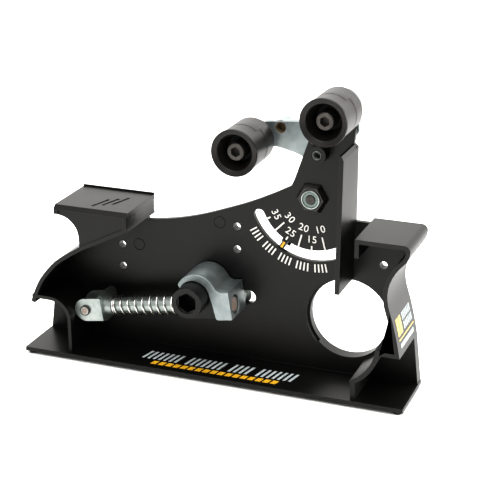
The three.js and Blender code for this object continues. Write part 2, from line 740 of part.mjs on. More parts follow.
const guideWasher = () => ring(GUIDE.along, GUIDE.up, 2, 7.2, 6.5, 7.7, 24);

function guideScrew() {
  const { along: x, up } = GUIDE;
  return combine(
    [cylinder(x, up, 1.55, 0.6, 8.3, 12), cylinder(x, up, 3.4, 7.8, 10.2, 20)],
    [hexPrism(x, up, 2.6, 9, 12)],
  );
}

// ---- assembly -----------------------------------------------------------------------
const model = new THREE.Group();
model.position.y = DEPTH_SHIFT;

const strut = new THREE.Group();
strut.position.set(STRUT.x, 0, STRUT.z);
strut.rotation.y = -radians(STRUT.tilt);
model.add(strut);

function place(name, geometry, look, parent = model) {
  const mesh = new THREE.Mesh(geometry, finish(...look));
  mesh.name = name;
  parent.add(mesh);
}

place('main_body', mainBody(), BODY_PLASTIC);

const footSpots = [[-139, -37], [138.5, -37], [-139, 4.5], [138.5, 4.5]];
footSpots.forEach(([x, y], i) => {
  const foot = new THREE.CylinderGeometry(3.2, 2.7, FOOT_HEIGHT, 20);
  foot.rotateX(Math.PI / 2);
  foot.translate(x, y, FOOT_HEIGHT / 2);
  place(`foot_${i + 1}`, foot, RUBBER);
});

place('threaded_insert', threadedInsert(), ZINC_PLATE);
place('pivot_bolt', pivotBolt(), ZINC_PLATE);
place('lock_nut', lockNut(), BLACK_STEEL);
place('lock_ring', lockRing(), ZINC_PLATE);
place('arm_washer_front', ring(PIVOT.x, PIVOT.z, 4.2, 10, WEB + 0.05, ARM.front - 0.05), ZINC_PLATE);
place('arm_washer_rear', ring(PIVOT.x, PIVOT.z, 4.2, 9, ARM.rear + 0.1, KNOB.front - 0.1), ZINC_PLATE);
place('lock_knob', lockKnob(), BODY_PLASTIC);

place('roller_arm', rollerArm(), ZINC_CAST);
place('pointer', pointer(), BODY_PLASTIC);
place('pointer_screw', pointerScrew(), ZINC_PLATE);
[['left', leftAxis], ['upper', upperAxis]].forEach(([side, axis]) => {
  place(`${side}_roller`, roller(axis), ROLLER_PLASTIC);
  place(`${side}_bearing_front`, bearing(axis, 14.1), ZINC_PLATE);
  place(`${side}_bearing_rear`, bearing(axis, ROLLER.length - 5.9), ZINC_PLATE);
  place(`${side}_bearing_spacer`, bearingSpacer(axis), ZINC_PLATE);
  place(`${side}_axle_screw`, axleScrew(axis), BLACK_STEEL);
  place(`${side}_axle_washer`, axleWasher(axis), ZINC_PLATE);
});

place('strut_bracket', strutBracket(), ZINC_PLATE, strut);
place('anchor_pin', anchorPin(), ZINC_PLATE, strut);
place('anchor_sleeve', anchorSleeve(), ZINC_PLATE, strut);
place('anchor_clip', anchorClip(), SPRING_STEEL, strut);
place('strut_rod', strutRod(), ZINC_PLATE, strut);
place('strut_spring', strutSpring(), SPRING_STEEL, strut);
place('socket_post', socketPost(), BODY_PLASTIC, strut);
place('post_saddle', postSaddle(), ZINC_CAST, strut);
place('guide_pin', guidePin(), ZINC_PLATE, strut);
place('guide_washer', guideWasher(), ZINC_PLATE, strut);
place('guide_screw', guideScrew(), BLACK_STEEL, strut);

export default model;
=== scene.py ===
"""Looks, light and camera for the belt grinding attachment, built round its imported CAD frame.

Lengths given to mm() are millimetres in the CAD's own axes, measured from the front of the
web for depth; everything else is in metres in the row frame.
"""

import json
import math

import bmesh
import bpy
from mathutils import Matrix, Vector
from mathutils.bvhtree import BVHTree


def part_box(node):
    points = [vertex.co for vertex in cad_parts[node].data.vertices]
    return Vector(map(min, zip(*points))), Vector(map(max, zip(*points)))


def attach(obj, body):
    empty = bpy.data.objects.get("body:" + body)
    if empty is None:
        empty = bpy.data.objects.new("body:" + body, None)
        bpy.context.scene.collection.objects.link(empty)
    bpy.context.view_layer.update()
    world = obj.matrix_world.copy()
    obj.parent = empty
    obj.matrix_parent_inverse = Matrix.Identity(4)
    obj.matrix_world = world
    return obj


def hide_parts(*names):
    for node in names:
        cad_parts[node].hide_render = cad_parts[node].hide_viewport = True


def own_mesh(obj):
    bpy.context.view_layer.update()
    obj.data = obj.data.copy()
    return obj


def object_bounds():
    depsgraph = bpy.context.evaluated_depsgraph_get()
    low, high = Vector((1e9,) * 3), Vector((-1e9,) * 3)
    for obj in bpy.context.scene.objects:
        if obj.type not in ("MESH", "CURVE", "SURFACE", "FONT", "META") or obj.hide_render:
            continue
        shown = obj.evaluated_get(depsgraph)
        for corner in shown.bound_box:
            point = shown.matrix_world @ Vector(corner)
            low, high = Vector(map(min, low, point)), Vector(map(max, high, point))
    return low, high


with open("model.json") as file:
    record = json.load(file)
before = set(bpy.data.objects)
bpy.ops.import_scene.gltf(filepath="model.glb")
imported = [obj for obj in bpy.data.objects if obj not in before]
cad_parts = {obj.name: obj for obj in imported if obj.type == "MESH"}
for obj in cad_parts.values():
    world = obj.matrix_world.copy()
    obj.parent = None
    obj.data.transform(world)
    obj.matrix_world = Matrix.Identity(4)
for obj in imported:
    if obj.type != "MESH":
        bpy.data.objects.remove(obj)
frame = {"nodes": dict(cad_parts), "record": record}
CAD_LOW, CAD_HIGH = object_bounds()

MM = 0.001
WEB_FRONT = 8.0


def centre(node):
    """The middle of a CAD node's box."""
    low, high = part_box(node)
    return (low + high) / 2


def mm(x, y, z):
    """A point in metres from millimetres, with depth counted from the web's front face."""
    return Vector((x * MM, (y + WEB_FRONT) * MM, z * MM))


# ---- materials ------------------------------------------------------------------------
NOISE_ROUGHNESS = 0.55
ROUNDED_SAMPLES = 6
EDGE_LOW = 0.02
EDGE_HIGH = 0.25
INK_ROUGHNESS = 0.45
INK_UNEVENNESS = 0.06


class Nodes:
    """A short way to write a node tree."""

    def __init__(self, name):
        self.material = bpy.data.materials.new(name)
        self.material.use_nodes = True
        self.tree = self.material.node_tree
        self.shader = self.tree.nodes["Principled BSDF"]
        self.place = self.tree.nodes.new("ShaderNodeTexCoord").outputs["Object"]

    def link(self, source, target):
        self.tree.links.new(source, target)

    def noise(self, scale, detail, vector=None):
        node = self.tree.nodes.new("ShaderNodeTexNoise")
        node.inputs["Scale"].default_value = scale
        node.inputs["Detail"].default_value = detail
        node.inputs["Roughness"].default_value = NOISE_ROUGHNESS
        self.link(vector or self.place, node.inputs["Vector"])
        return node.outputs["Fac"]

    def stretched(self, x, y, z):
        node = self.tree.nodes.new("ShaderNodeMapping")
        node.inputs["Scale"].default_value = (x, y, z)
        self.link(self.place, node.inputs["Vector"])
        return node.outputs["Vector"]

    def span(self, source, low, high, start=0.0, end=1.0):
        node = self.tree.nodes.new("ShaderNodeMapRange")
        node.inputs["From Min"].default_value = start
        node.inputs["From Max"].default_value = end
        node.inputs["To Min"].default_value = low
        node.inputs["To Max"].default_value = high
        self.link(source, node.inputs["Value"])
        return node.outputs["Result"]

    def ramp(self, source, *stops):
        node = self.tree.nodes.new("ShaderNodeValToRGB")
        elements = node.color_ramp.elements
        for position, _ in stops[2:]:
            elements.new(position)
        for element, (position, colour) in zip(elements, stops):
            element.position = position
            element.color = (*colour, 1)
        self.link(source, node.inputs["Fac"])
        return node.outputs["Color"]

    def blend(self, source, dark, light):
        """Two colours over the middle of a noise's range."""
        return self.ramp(source, (0.3, dark), (0.7, light))

    def mix(self, factor, first, second):
        node = self.tree.nodes.new("ShaderNodeMix")
        node.data_type = "RGBA"
        for socket, value in ((node.inputs[6], first), (node.inputs[7], second)):
            if isinstance(value, tuple):
                socket.default_value = (*value, 1)
            else:
                self.link(value, socket)
        self.link(factor, node.inputs["Factor"])
        return node.outputs[2]

    def maths(self, operation, first, second):
        node = self.tree.nodes.new("ShaderNodeMath")
        node.operation = operation
        for socket, value in ((node.inputs[0], first), (node.inputs[1], second)):
            if isinstance(value, (int, float)):
                socket.default_value = value
            else:
                self.link(value, socket)
        return node.outputs["Value"]

    def bump(self, height, strength, distance, normal=None):
        node = self.tree.nodes.new("ShaderNodeBump")
        node.inputs["Strength"].default_value = strength
        node.inputs["Distance"].default_value = distance
        self.link(height, node.inputs["Height"])
        if normal is not None:
            self.link(normal, node.inputs["Normal"])
        return node.outputs["Normal"]

    def rounded(self, radius):
        node = self.tree.nodes.new("ShaderNodeBevel")
        node.samples = ROUNDED_SAMPLES
        node.inputs["Radius"].default_value = radius
        return node.outputs["Normal"]

    def edge_mask(self, radius):
        """1 along sharp edges and 0 on flats."""
        bevel = self.rounded(radius)
        geometry = self.tree.nodes.new("ShaderNodeNewGeometry")
        dot = self.tree.nodes.new("ShaderNodeVectorMath")
        dot.operation = "DOT_PRODUCT"
        self.link(bevel, dot.inputs[0])
        self.link(geometry.outputs["Normal"], dot.inputs[1])
        away = self.maths("SUBTRACT", 1.0, dot.outputs["Value"])
        return self.span(away, 0, 1, EDGE_LOW, EDGE_HIGH)

    def use(self, **sockets):
        for name, value in sockets.items():
            socket = self.shader.inputs[name.replace("_", " ")]
            if isinstance(value, bpy.types.NodeSocket):
                self.link(value, socket)
            else:
                socket.default_value = value
        return self.material


def moulded_plastic():
    """Black satin moulding: fine spark texture, faint mottling and a painted highlight along the
    edges.
    """
    n = Nodes("moulded_plastic")
    mottle = n.noise(26, 5)
    grain = n.noise(2600, 2)
    edges = n.edge_mask(0.0009)
    tone = n.blend(mottle, (0.0045, 0.0044, 0.0042), (0.0068, 0.0066, 0.0062))
    rough = n.maths("ADD", n.span(mottle, 0.32, 0.42), n.span(grain, -0.03, 0.03))
    return n.use(
        # Sharp edges are mixed towards a lighter grey: a painted highlight where light catches the
        # rims.
        Base_Color=n.mix(edges, tone, (0.016, 0.016, 0.015)),
        Roughness=rough,
        Specular_IOR_Level=0.36,
        Normal=n.bump(grain, 0.12, 0.00008, n.rounded(0.0004)),
    )


def glossy_roller():
    """Turned black plastic with fine lines round it."""
    n = Nodes("glossy_roller")
    lines = n.noise(60, 3, vector=n.stretched(0.6, 60, 0.6))
    smears = n.noise(45, 4)
    return n.use(
        Base_Color=n.ramp(
            smears, (0.3, (0.0078, 0.0066, 0.0060)), (0.75, (0.0125, 0.0108, 0.0100)),
        ),
        Roughness=n.maths("ADD", n.span(smears, 0.34, 0.43), n.span(lines, -0.03, 0.03)),
        Specular_IOR_Level=0.36,
        Normal=n.bump(lines, 0.35, 0.00006),
    )


def rubber():
    """Dull black rubber of the feet."""
    n = Nodes("foot_rubber")
    speckle = n.noise(900, 3)
    return n.use(
        Base_Color=n.blend(speckle, (0.008, 0.008, 0.008), (0.016, 0.016, 0.015)),
        Roughness=n.span(speckle, 0.7, 0.9),
        Normal=n.bump(speckle, 0.3, 0.0001),
    )


def bearing_seal():
    """Dark shields of the bearings, with a faint fine speckle."""
    n = Nodes("bearing_seal")
    speckle = n.noise(500, 3)
    return n.use(
        Base_Color=n.blend(speckle, (0.003, 0.003, 0.003), (0.006, 0.006, 0.006)),
        Roughness=n.span(speckle, 0.5, 0.7),
        Specular_IOR_Level=0.3,
    )


def black_oxide():
    """Blackened steel with lighter rubbed corners."""
    n = Nodes("black_oxide")
    cloud = n.noise(160, 4)
    edges = n.edge_mask(0.0005)
    tone = n.blend(cloud, (0.020, 0.019, 0.018), (0.038, 0.036, 0.034))
    return n.use(
        Base_Color=n.mix(n.maths("MULTIPLY", edges, 0.5), tone, (0.07, 0.066, 0.062)),
        Metallic=0.3,
        Roughness=n.span(cloud, 0.22, 0.34),
        Normal=n.bump(cloud, 0.08, 0.0001, n.rounded(0.0003)),
    )


def screw_steel():
    """Brownish dark steel of the socket screws."""
    n = Nodes("screw_steel")
    cloud = n.noise(220, 4)
    return n.use(
        Base_Color=n.blend(cloud, (0.050, 0.046, 0.043), (0.085, 0.079, 0.073)),
        Metallic=0.6,
        Roughness=n.span(cloud, 0.38, 0.5),
        Normal=n.bump(cloud, 0.1, 0.0001, n.rounded(0.0003)),
    )


def zinc_casting():
    """Tumbled zinc: cloudy, softly pitted, slightly blue-green."""
    n = Nodes("zinc_casting")
    cloud = n.noise(70, 5)
    pits = n.noise(900, 3)
    edges = n.edge_mask(0.0006)
    tone = n.ramp(
        cloud, (0.25, (0.17, 0.20, 0.20)), (0.55, (0.28, 0.31, 0.31)), (0.8, (0.41, 0.44, 0.43)),
    )
    return n.use(
        Base_Color=n.mix(edges, tone, (0.60, 0.62, 0.61)),
        Metallic=0.75,
        Roughness=n.span(cloud, 0.36, 0.5),
        Normal=n.bump(pits, 0.2, 0.00009, n.rounded(0.0004)),
    )


def zinc_plate():
    """Plated steel with a soft haze and rolling lines."""
    n = Nodes("zinc_plate")
    cloud = n.noise(120, 4)
    rolled = n.noise(90, 3, vector=n.stretched(1, 1, 14))
    tone = n.blend(cloud, (0.25, 0.28, 0.27), (0.40, 0.43, 0.41))
    rough = n.maths("ADD", n.span(cloud, 0.27, 0.4), n.span(rolled, -0.04, 0.04))
    return n.use(
        Base_Color=tone,
        Metallic=0.85,
        Roughness=rough,
        Normal=n.bump(rolled, 0.08, 0.00005, n.rounded(0.0003)),
    )


def spring_steel():
    """Bright drawn wire."""
    n = Nodes("spring_steel")
    drawn = n.noise(500, 3)
    return n.use(
        Base_Color=n.blend(drawn, (0.55, 0.55, 0.53), (0.72, 0.72, 0.69)),
        Metallic=1.0,
        Roughness=n.span(drawn, 0.18, 0.3),
        Normal=n.bump(drawn, 0.05, 0.00003),
    )


def bronze():
    """Brownish bush in the arm's threaded hole."""
    n = Nodes("bronze_bush")
    cloud = n.noise(400, 3)
    return n.use(
        Base_Color=n.blend(cloud, (0.16, 0.12, 0.075), (0.30, 0.24, 0.16)),
        Metallic=0.8,
        Roughness=n.span(cloud, 0.3, 0.45),
    )


def paint(name, dark, light, roughness=INK_ROUGHNESS):
    """Pad-printed ink: slightly uneven, with a fine grain."""
    n = Nodes(name)
    cloud = n.noise(700, 4)
    return n.use(
        Base_Color=n.blend(cloud, dark, light),
        Roughness=n.span(cloud, roughness - INK_UNEVENNESS, roughness + INK_UNEVENNESS),
        Normal=n.bump(cloud, 0.1, 0.00004),
    )


BODY = moulded_plastic()
ROLLER = glossy_roller()
ZINC_CAST = zinc_casting()
ZINC = zinc_plate()
SPRING = spring_steel()
SCREW = screw_steel()
BRONZE = bronze()
WHITE_INK = paint("white_ink", (0.62, 0.61, 0.57), (0.78, 0.77, 0.73))
COOL_INK = paint("cool_white_ink", (0.42, 0.47, 0.48), (0.60, 0.65, 0.65))
YELLOW_INK = paint("yellow_ink", (0.62, 0.34, 0.02), (0.80, 0.48, 0.04))
PALE_YELLOW_INK = paint("pale_yellow_ink", (0.42, 0.29, 0.07), (0.56, 0.40, 0.12))
WALL_INK = paint("wall_white_ink", (0.22, 0.25, 0.25), (0.34, 0.37, 0.37))
NYLON = paint("grey_nylon", (0.13, 0.17, 0.16), (0.19, 0.24, 0.22), 0.4)
COPPER = paint("copper_core", (0.20, 0.155, 0.13), (0.34, 0.27, 0.23), 0.4)

LOOKS = {
    "body_plastic": BODY,
    "roller_plastic": ROLLER,
    "foot_rubber": rubber(),
    "black_steel": black_oxide(),
    "zinc_casting": ZINC_CAST,
    "zinc_plate": ZINC,
    "spring_steel": SPRING,
    "bearing_seal": bearing_seal(),
}
SCREW_NODES = ("left_axle_screw", "upper_axle_screw", "pivot_bolt")
SLOT_OF = {row["node"]: row["material_slot"] for row in frame["record"]["subparts"]}
BODY_OF = {
    node: body for body, nodes in frame["record"]["behaviour"]["bodies"].items() for node in nodes
}


def look_of(node):
    """The material of a node, by its slot or its own."""
    return SCREW if node in SCREW_NODES else LOOKS[SLOT_OF[node]]


for node, obj in frame["nodes"].items():
    obj.data.materials.clear()
    obj.data.materials.append(look_of(node))


# ---- making pieces --------------------------------------------------------------------
WELD = 0.000002
FLAT_LIMIT = math.radians(0.3)
SMOOTH_LIMIT = math.radians(34)
BEVEL_LIMIT = math.radians(35)
BEVEL_SEGMENTS = 2


def smooth_by_angle(mesh):
    """Smooth shading with sharp edges kept where faces meet at more than the limit."""
    work = bmesh.new()
    work.from_mesh(mesh)
    for face in work.faces:
        face.smooth = True
    for edge in work.edges:
        edge.smooth = len(edge.link_faces) == 2 and edge.calc_face_angle(0) < SMOOTH_LIMIT
    work.to_mesh(mesh)
    work.free()


def add_object(name, work):
    """A new object in the scene from a bmesh, which is freed."""
    mesh = bpy.data.meshes.new(name)
    work.to_mesh(mesh)
    work.free()
    obj = bpy.data.objects.new(name, mesh)
    bpy.context.scene.collection.objects.link(obj)
    return obj


def round_edges(obj, width):
    modifier = obj.modifiers.new("edge", "BEVEL")
    modifier.width = width
    modifier.segments = BEVEL_SEGMENTS
    modifier.limit_method = "ANGLE"
    modifier.angle_limit = BEVEL_LIMIT
    modifier.harden_normals = True


def piece(name, work, body, material, bevel=0.0, stands_for=()):
    """A mesh piece that rides on a body, from a bmesh in the row frame."""
    bmesh.ops.recalc_face_normals(work, faces=work.faces)
    obj = add_object(name, work)
    obj.data.materials.append(material)
    smooth_by_angle(obj.data)
    if bevel:
        round_edges(obj, bevel)
    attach(obj, body)
    if stands_for:
        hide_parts(*stands_for)
    return obj


def cut(obj, work):
    """Takes the shapes in a bmesh out of an object's mesh."""
    bmesh.ops.recalc_face_normals(work, faces=work.faces)
    tool = add_object("cutter", work)
    modifier = obj.modifiers.new("engrave", "BOOLEAN")
    modifier.operation = "DIFFERENCE"
    modifier.solver = "EXACT"
    modifier.object = tool
    bpy.context.view_layer.update()
    graph = bpy.context.evaluated_depsgraph_get()
    mesh = bpy.data.meshes.new_from_object(obj.evaluated_get(graph))
    obj.modifiers.clear()
    obj.data = mesh
    bpy.data.objects.remove(tool)


def refined(node, bevel=0.0, carving=None):
    """A welded, smooth-shaded copy of a CAD node with rounded edges, which stands for it."""
    work = bmesh.new()
    work.from_mesh(frame["nodes"][node].data)
    bmesh.ops.remove_doubles(work, verts=work.verts, dist=WELD)
    bmesh.ops.dissolve_limit(
        work, angle_limit=FLAT_LIMIT, verts=work.verts, edges=work.edges,
    )
    bmesh.ops.recalc_face_normals(work, faces=work.faces)
    obj = add_object(f"{node}_fine", work)
    if carving:
        cut(obj, carving)
    obj.data.materials.clear()
    obj.data.materials.append(look_of(node))
    smooth_by_angle(obj.data)
    if bevel:
        round_edges(obj, bevel)
    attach(obj, BODY_OF[node])
    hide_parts(node)


def turn(work, origin, axis, profile, steps=96, shift=None):
    """A profile of (radius, distance along the axis), in millimetres, turned in place.

    One that doesn't start on the axis is closed. Entries with a third value move along the
    axis by shift(angle in degrees) times that value.
    """
    axis = Vector(axis).normalized()
    side = Vector((1, 0, 0)) if abs(axis.x) < 0.5 else Vector((0, 1, 0))
    side = (side - axis * side.dot(axis)).normalized()
    other = side.cross(axis)
    rings = []
    for radius, along, *follow in profile:
        if radius <= 0:
            rings.append([work.verts.new(origin + axis * along * MM)])
            continue
        ring = []
        for i in range(steps):
            angle = 2 * math.pi * i / steps
            moved = along + (follow[0] * shift(math.degrees(angle)) if follow else 0)
            out = side * math.cos(angle) + other * math.sin(angle)
            ring.append(work.verts.new(origin + (axis * moved + out * radius) * MM))
        rings.append(ring)
    pairs = list(zip(rings, rings[1:]))
    if profile[0][0] > 0:
        pairs.append((rings[-1], rings[0]))
    for first, second in pairs:
        for i in range(steps):
            j = (i + 1) % steps
            corners = [first[i % len(first)], first[j % len(first)],
                       second[j % len(second)], second[i % len(second)]]
            unique = list(dict.fromkeys(corners))
            if len(unique) > 2:
                work.faces.new(unique)
    return work


def solid(work, first, last):
    """Closes the space between two rings of points with flat ends and straight sides."""
    first = [work.verts.new(point) for point in first]
    last = [work.verts.new(point) for point in last]
    work.faces.new(first)
    work.faces.new(list(reversed(last)))
    for i in range(len(first)):
        j = (i + 1) % len(first)
        work.faces.new([first[i], first[j], last[j], last[i]])
    return work


def prism(work, outline, front, rear):
    """A flat outline of (x, z) in millimetres, from a front depth to a rear depth."""
    return solid(
        work, [mm(x, front, z) for x, z in outline], [mm(x, rear, z) for x, z in outline],
    )


def plate(work, outline, bottom, top):
    """A flat outline of (x, y) in millimetres, from one height to another."""
    return solid(
        work, [mm(x, y, bottom) for x, y in outline], [mm(x, y, top) for x, y in outline],
    )


def bar_outline(x0, z0, x1, z1, width):
    """The corners of a straight bar between two points."""
    along = Vector((x1 - x0, z1 - z0)).normalized()
    across = Vector((-along.y, along.x)) * width / 2
    return [
        (x0 - across.x, z0 - across.y), (x1 - across.x, z1 - across.y),
        (x1 + across.x, z1 + across.y), (x0 + across.x, z0 + across.y),
    ]


# ---- moulded frame and small castings ---------------------------------------------------
LEFT_TOP = 117.3
GROOVE_DEPTH = 0.7
GROOVE_LENGTH = 17.0
GROOVE_WIDTH = 2.2
GROOVE_LEAN = 5.0
GROOVE_STARTS = [(-90.6, -30), (-84.6, -26), (-78.6, -22)]
EJECTOR_MARKS = [(-68.0, 81.2), (-4.9, 106.0)]
EJECTOR_RADIUS = 4.25
EJECTOR_LINE = 0.5
EJECTOR_SUNK = 0.3
EJECTOR_STEPS = 40


def slanted(x, y, width, depth, lean):
    """The corners of a block whose rear edge is shifted sideways."""
    return [(x, y), (x + width, y), (x + width + lean, y + depth), (x + lean, y + depth)]


def ring_groove(work, x, z):
    """A ring-shaped cutter sunk into the web's front face."""
    inner = EJECTOR_RADIUS - EJECTOR_LINE / 2
    outer = EJECTOR_RADIUS + EJECTOR_LINE / 2
    profile = [(inner, -1), (outer, -1), (outer, EJECTOR_SUNK), (inner, EJECTOR_SUNK)]
    turn(work, mm(x, 0, z), (0, 1, 0), profile, EJECTOR_STEPS)


def body_carving():
    """Three plain slanted grooves on the left platform and the ejector pin rings of the web."""
    work = bmesh.new()
    for x, y in GROOVE_STARTS:
        outline = slanted(x, y, GROOVE_WIDTH, GROOVE_LENGTH, GROOVE_LEAN)
        plate(work, outline, LEFT_TOP - GROOVE_DEPTH, LEFT_TOP + 1)
    for x, z in EJECTOR_MARKS:
        ring_groove(work, x, z)
    return work


ROUNDED_NODES = {
    "roller_arm": 0.0004,
    "post_saddle": 0.0005,
    "strut_bracket": 0.0004,
    "socket_post": 0.0003,
    "lock_nut": 0.0003,
    "lock_knob": 0.0005,
    "pointer": 0.0002,
    "left_axle_screw": 0.0002,
    "upper_axle_screw": 0.0002,
}
refined("main_body", carving=body_carving())
for node, bevel in ROUNDED_NODES.items():
    refined(node, bevel)

# ---- rollers ----------------------------------------------------------------------------
ROLLER_FRONT = -41.0
ROLLER_RADIUS = 15.6
SEAM_DEPTH = 21.8
SEAM_JOG = -6.0
SEAM_HALF = 0.45
SEAM_FLOOR_HALF = 0.2
SEAM_SUNK = 0.4
SEAM_STEP_START = 48
SEAM_STEP_END = 180
SEAM_STEP_BLEND = 3
ROLLER_STEPS = 120


def seam_shift(angle):
    """The joint line round a roller steps forward over the upper left half."""
    turned = (angle - SEAM_STEP_START) % 360
    if turned < SEAM_STEP_BLEND:
        return turned / SEAM_STEP_BLEND
    if turned < SEAM_STEP_END:
        return 1.0
    if turned < SEAM_STEP_END + SEAM_STEP_BLEND:
        return 1.0 - (turned - SEAM_STEP_END) / SEAM_STEP_BLEND
    return 0.0


def roller(side):
    """Drum with a bore for two bearings, a stepped recess in front, a rim and a joint line."""
    middle = centre(f"{side}_roller")
    origin = Vector((middle.x, mm(0, ROLLER_FRONT, 0).y, middle.z))
    sunk = ROLLER_RADIUS - SEAM_SUNK
    profile = [
        (15.4, 35.6), (9.25, 35.6), (9.25, 29.6), (7.6, 29.6), (7.6, 20.0), (9.25, 20.0),
        (9.25, 9.9), (9.5, 9.2), (10.2, 7.2), (10.35, 6.9), (12.1, 2.3), (12.25, 1.7),
        (12.6, 1.3), (13.1, 1.1), (14.9, 0.35), (15.4, 0.08), (15.7, 0.0), (16.0, 0.12),
        (16.2, 0.45), (16.2, 2.3), (16.1, 2.7), (15.75, 3.1), (ROLLER_RADIUS, 3.5),
        (ROLLER_RADIUS, SEAM_DEPTH - SEAM_HALF, SEAM_JOG),
        (sunk, SEAM_DEPTH - SEAM_FLOOR_HALF, SEAM_JOG),
        (sunk, SEAM_DEPTH + SEAM_FLOOR_HALF, SEAM_JOG),
        (ROLLER_RADIUS, SEAM_DEPTH + SEAM_HALF, SEAM_JOG),
        (ROLLER_RADIUS, 35.3),
    ]
    work = turn(bmesh.new(), origin, (0, 1, 0), profile, ROLLER_STEPS, seam_shift)
    piece(f"{side}_roller_fine", work, f"{side}_drum", ROLLER,
          stands_for=(f"{side}_roller",))


roller("left")
roller("upper")

# ---- pivot, insert and arm hole -----------------------------------------------------------
PIVOT = centre("pivot_bolt")
PIVOT_X = PIVOT.x / MM
PIVOT_Z = PIVOT.z / MM

lock_ring = turn(bmesh.new(), mm(PIVOT_X, 0, PIVOT_Z), (0, 1, 0), [
    (5.45, -4.6), (5.6, -5.15), (5.85, -5.4), (6.3, -5.4), (6.65, -5.2), (6.8, -4.8),
    (6.8, -2.8), (5.45, -2.8),
])
piece("lock_ring_fine", lock_ring, "frame", ZINC, stands_for=("lock_ring",))
nylon_ring = turn(bmesh.new(), mm(PIVOT_X, 0, PIVOT_Z), (0, 1, 0), [
    (3.5, -4.35), (3.8, -4.6), (5.1, -4.75), (5.4, -4.6), (5.4, -2.8), (4.1, -2.8), (4.1, -4.2),
    (3.5, -4.2),
])
piece("lock_ring_nylon", nylon_ring, "frame", NYLON)

bolt_end = turn(bmesh.new(), mm(PIVOT_X, 0, PIVOT_Z), (0, 1, 0), [
    (0, -4.7), (0.7, -4.7), (0.95, -4.85), (2.5, -4.85), (2.95, -4.7), (3.2, -4.3), (0, -4.3),
])
piece("bolt_end", bolt_end, "frame", SCREW)


BUSH_EDGE = 0.3
BUSH_END = 0.4
THREAD_DEPTH = 0.35


def threaded_bush(name, place, outer, inner, front, rear, pitch, material, body, stands_for=()):
    """A bush with ridges inside it and a closed rear end."""
    x, z = place
    profile = [(0, rear), (outer, rear), (outer, front + BUSH_EDGE), (outer - BUSH_EDGE, front),
               (inner + BUSH_END, front)]
    along = front + BUSH_END
    while along + pitch < rear:
        profile += [(inner + THREAD_DEPTH, along), (inner, along + pitch / 2)]
        along += pitch
    profile += [(inner + THREAD_DEPTH, rear - BUSH_END), (0, rear - BUSH_END)]
    work = turn(bmesh.new(), mm(x, 0, z), (0, 1, 0), profile, 64)
    piece(name, work, body, material, stands_for=stands_for)


INSERT = centre("threaded_insert")
ARM_HOLE = (38.4, 178.2)
threaded_bush("threaded_insert_fine", (INSERT.x / MM, INSERT.z / MM), 3.15, 2.35, -9.2, -2.2, 0.8,
              ZINC, "frame", ("threaded_insert",))
threaded_bush("arm_bush", ARM_HOLE, 3.85, 3.1, 4.8, 10.4, 0.9, BRONZE, "arm")

# ---- strut --------------------------------------------------------------------------------
TILT = math.radians(9)
ALONG = Vector((math.cos(TILT), 0, math.sin(TILT)))
UP = Vector((-math.sin(TILT), 0, math.cos(TILT)))
PIN = centre("anchor_pin")
ROD_DEPTH = -19.0
ROD_END = 113.8
SPRING_OUTER = 7.5
SPRING_WIRE = 0.62
SPRING_START = 19.2
SPRING_END = 76.9
SPRING_TURNS = 12
SPRING_CLOSED_TURNS = 1.5
SPRING_CLOSED_PITCH = 2 * SPRING_WIRE + 0.12
SPRING_STEPS_PER_TURN = 40
SPRING_SIDES = 10


def strut_point(along, up, depth):
    """A point in metres from millimetres along and across the tilted strut."""
    return Vector((PIN.x, mm(0, depth, 0).y, PIN.z)) + (ALONG * along + UP * up) * MM


def wire(work, points, outward, radius, sides):
    """A round wire through points, each with a direction that points away from its coil."""
    rings = []
    for i, point in enumerate(points):
        before = points[max(i - 1, 0)]
        after = points[min(i + 1, len(points) - 1)]
        tangent = (after - before).normalized()
        across = tangent.cross(outward[i]).normalized()
        upright = across.cross(tangent)
        rings.append([
            work.verts.new(point + (upright * math.cos(a) + across * math.sin(a)) * radius)
            for a in (2 * math.pi * k / sides for k in range(sides))
        ])
    for first, second in zip(rings, rings[1:]):
        for k in range(sides):
            m = (k + 1) % sides
            work.faces.new([first[k], first[m], second[m], second[k]])
    work.faces.new(rings[0])
    work.faces.new(list(reversed(rings[-1])))
    return work


def strut_spring():
    """Round wire with closed coils at both ends."""
    open_turns = SPRING_TURNS - 2 * SPRING_CLOSED_TURNS
    closed_length = 2 * SPRING_CLOSED_TURNS * SPRING_CLOSED_PITCH
    length = SPRING_END - SPRING_START
    open_pitch = (length - 2 * SPRING_WIRE - closed_length) / open_turns
    steps = SPRING_TURNS * SPRING_STEPS_PER_TURN
    points = []
    outward = []
    for i in range(steps + 1):
        turns = SPRING_TURNS * i / steps
        opened = min(max(turns - SPRING_CLOSED_TURNS, 0), open_turns)
        closed = turns - opened
        along = SPRING_START + SPRING_WIRE + closed * SPRING_CLOSED_PITCH + opened * open_pitch
        angle = turns * 2 * math.pi
        radial = Vector((0, math.cos(angle), 0)) + UP * math.sin(angle)
        middle = radial * (SPRING_OUTER - SPRING_WIRE) * MM
        points.append(strut_point(along, 0, ROD_DEPTH) + middle)
        outward.append(radial)
    work = wire(bmesh.new(), points, outward, SPRING_WIRE * MM, SPRING_SIDES)
    obj = piece("strut_spring_fine", work, "frame", SPRING,
                stands_for=("strut_spring",))
    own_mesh(obj)


strut_spring()

pin_ring = turn(bmesh.new(), strut_point(0, 0, 0), (0, 1, 0), [
    (2.75, -29.9), (2.95, -30.2), (3.35, -30.3), (3.7, -30.1), (3.8, -29.7), (3.8, -28.65),
    (2.75, -28.65),
])
piece("pin_ring", pin_ring, "frame", SCREW)
pin_core = turn(bmesh.new(), strut_point(0, 0, 0), (0, 1, 0), [
    (0, -30.35), (1.2, -30.3), (2.2, -30.15), (2.7, -29.9), (2.7, -29.0), (0, -29.0),
])
piece("pin_core", pin_core, "frame", COPPER)

rod_end = turn(bmesh.new(), strut_point(ROD_END, 0, ROD_DEPTH), ALONG, [
    (0, 0.12), (4.6, 0.1), (5.1, 0.02), (5.1, -0.3), (0, -0.3),
])
piece("rod_end", rod_end, "frame", COPPER)

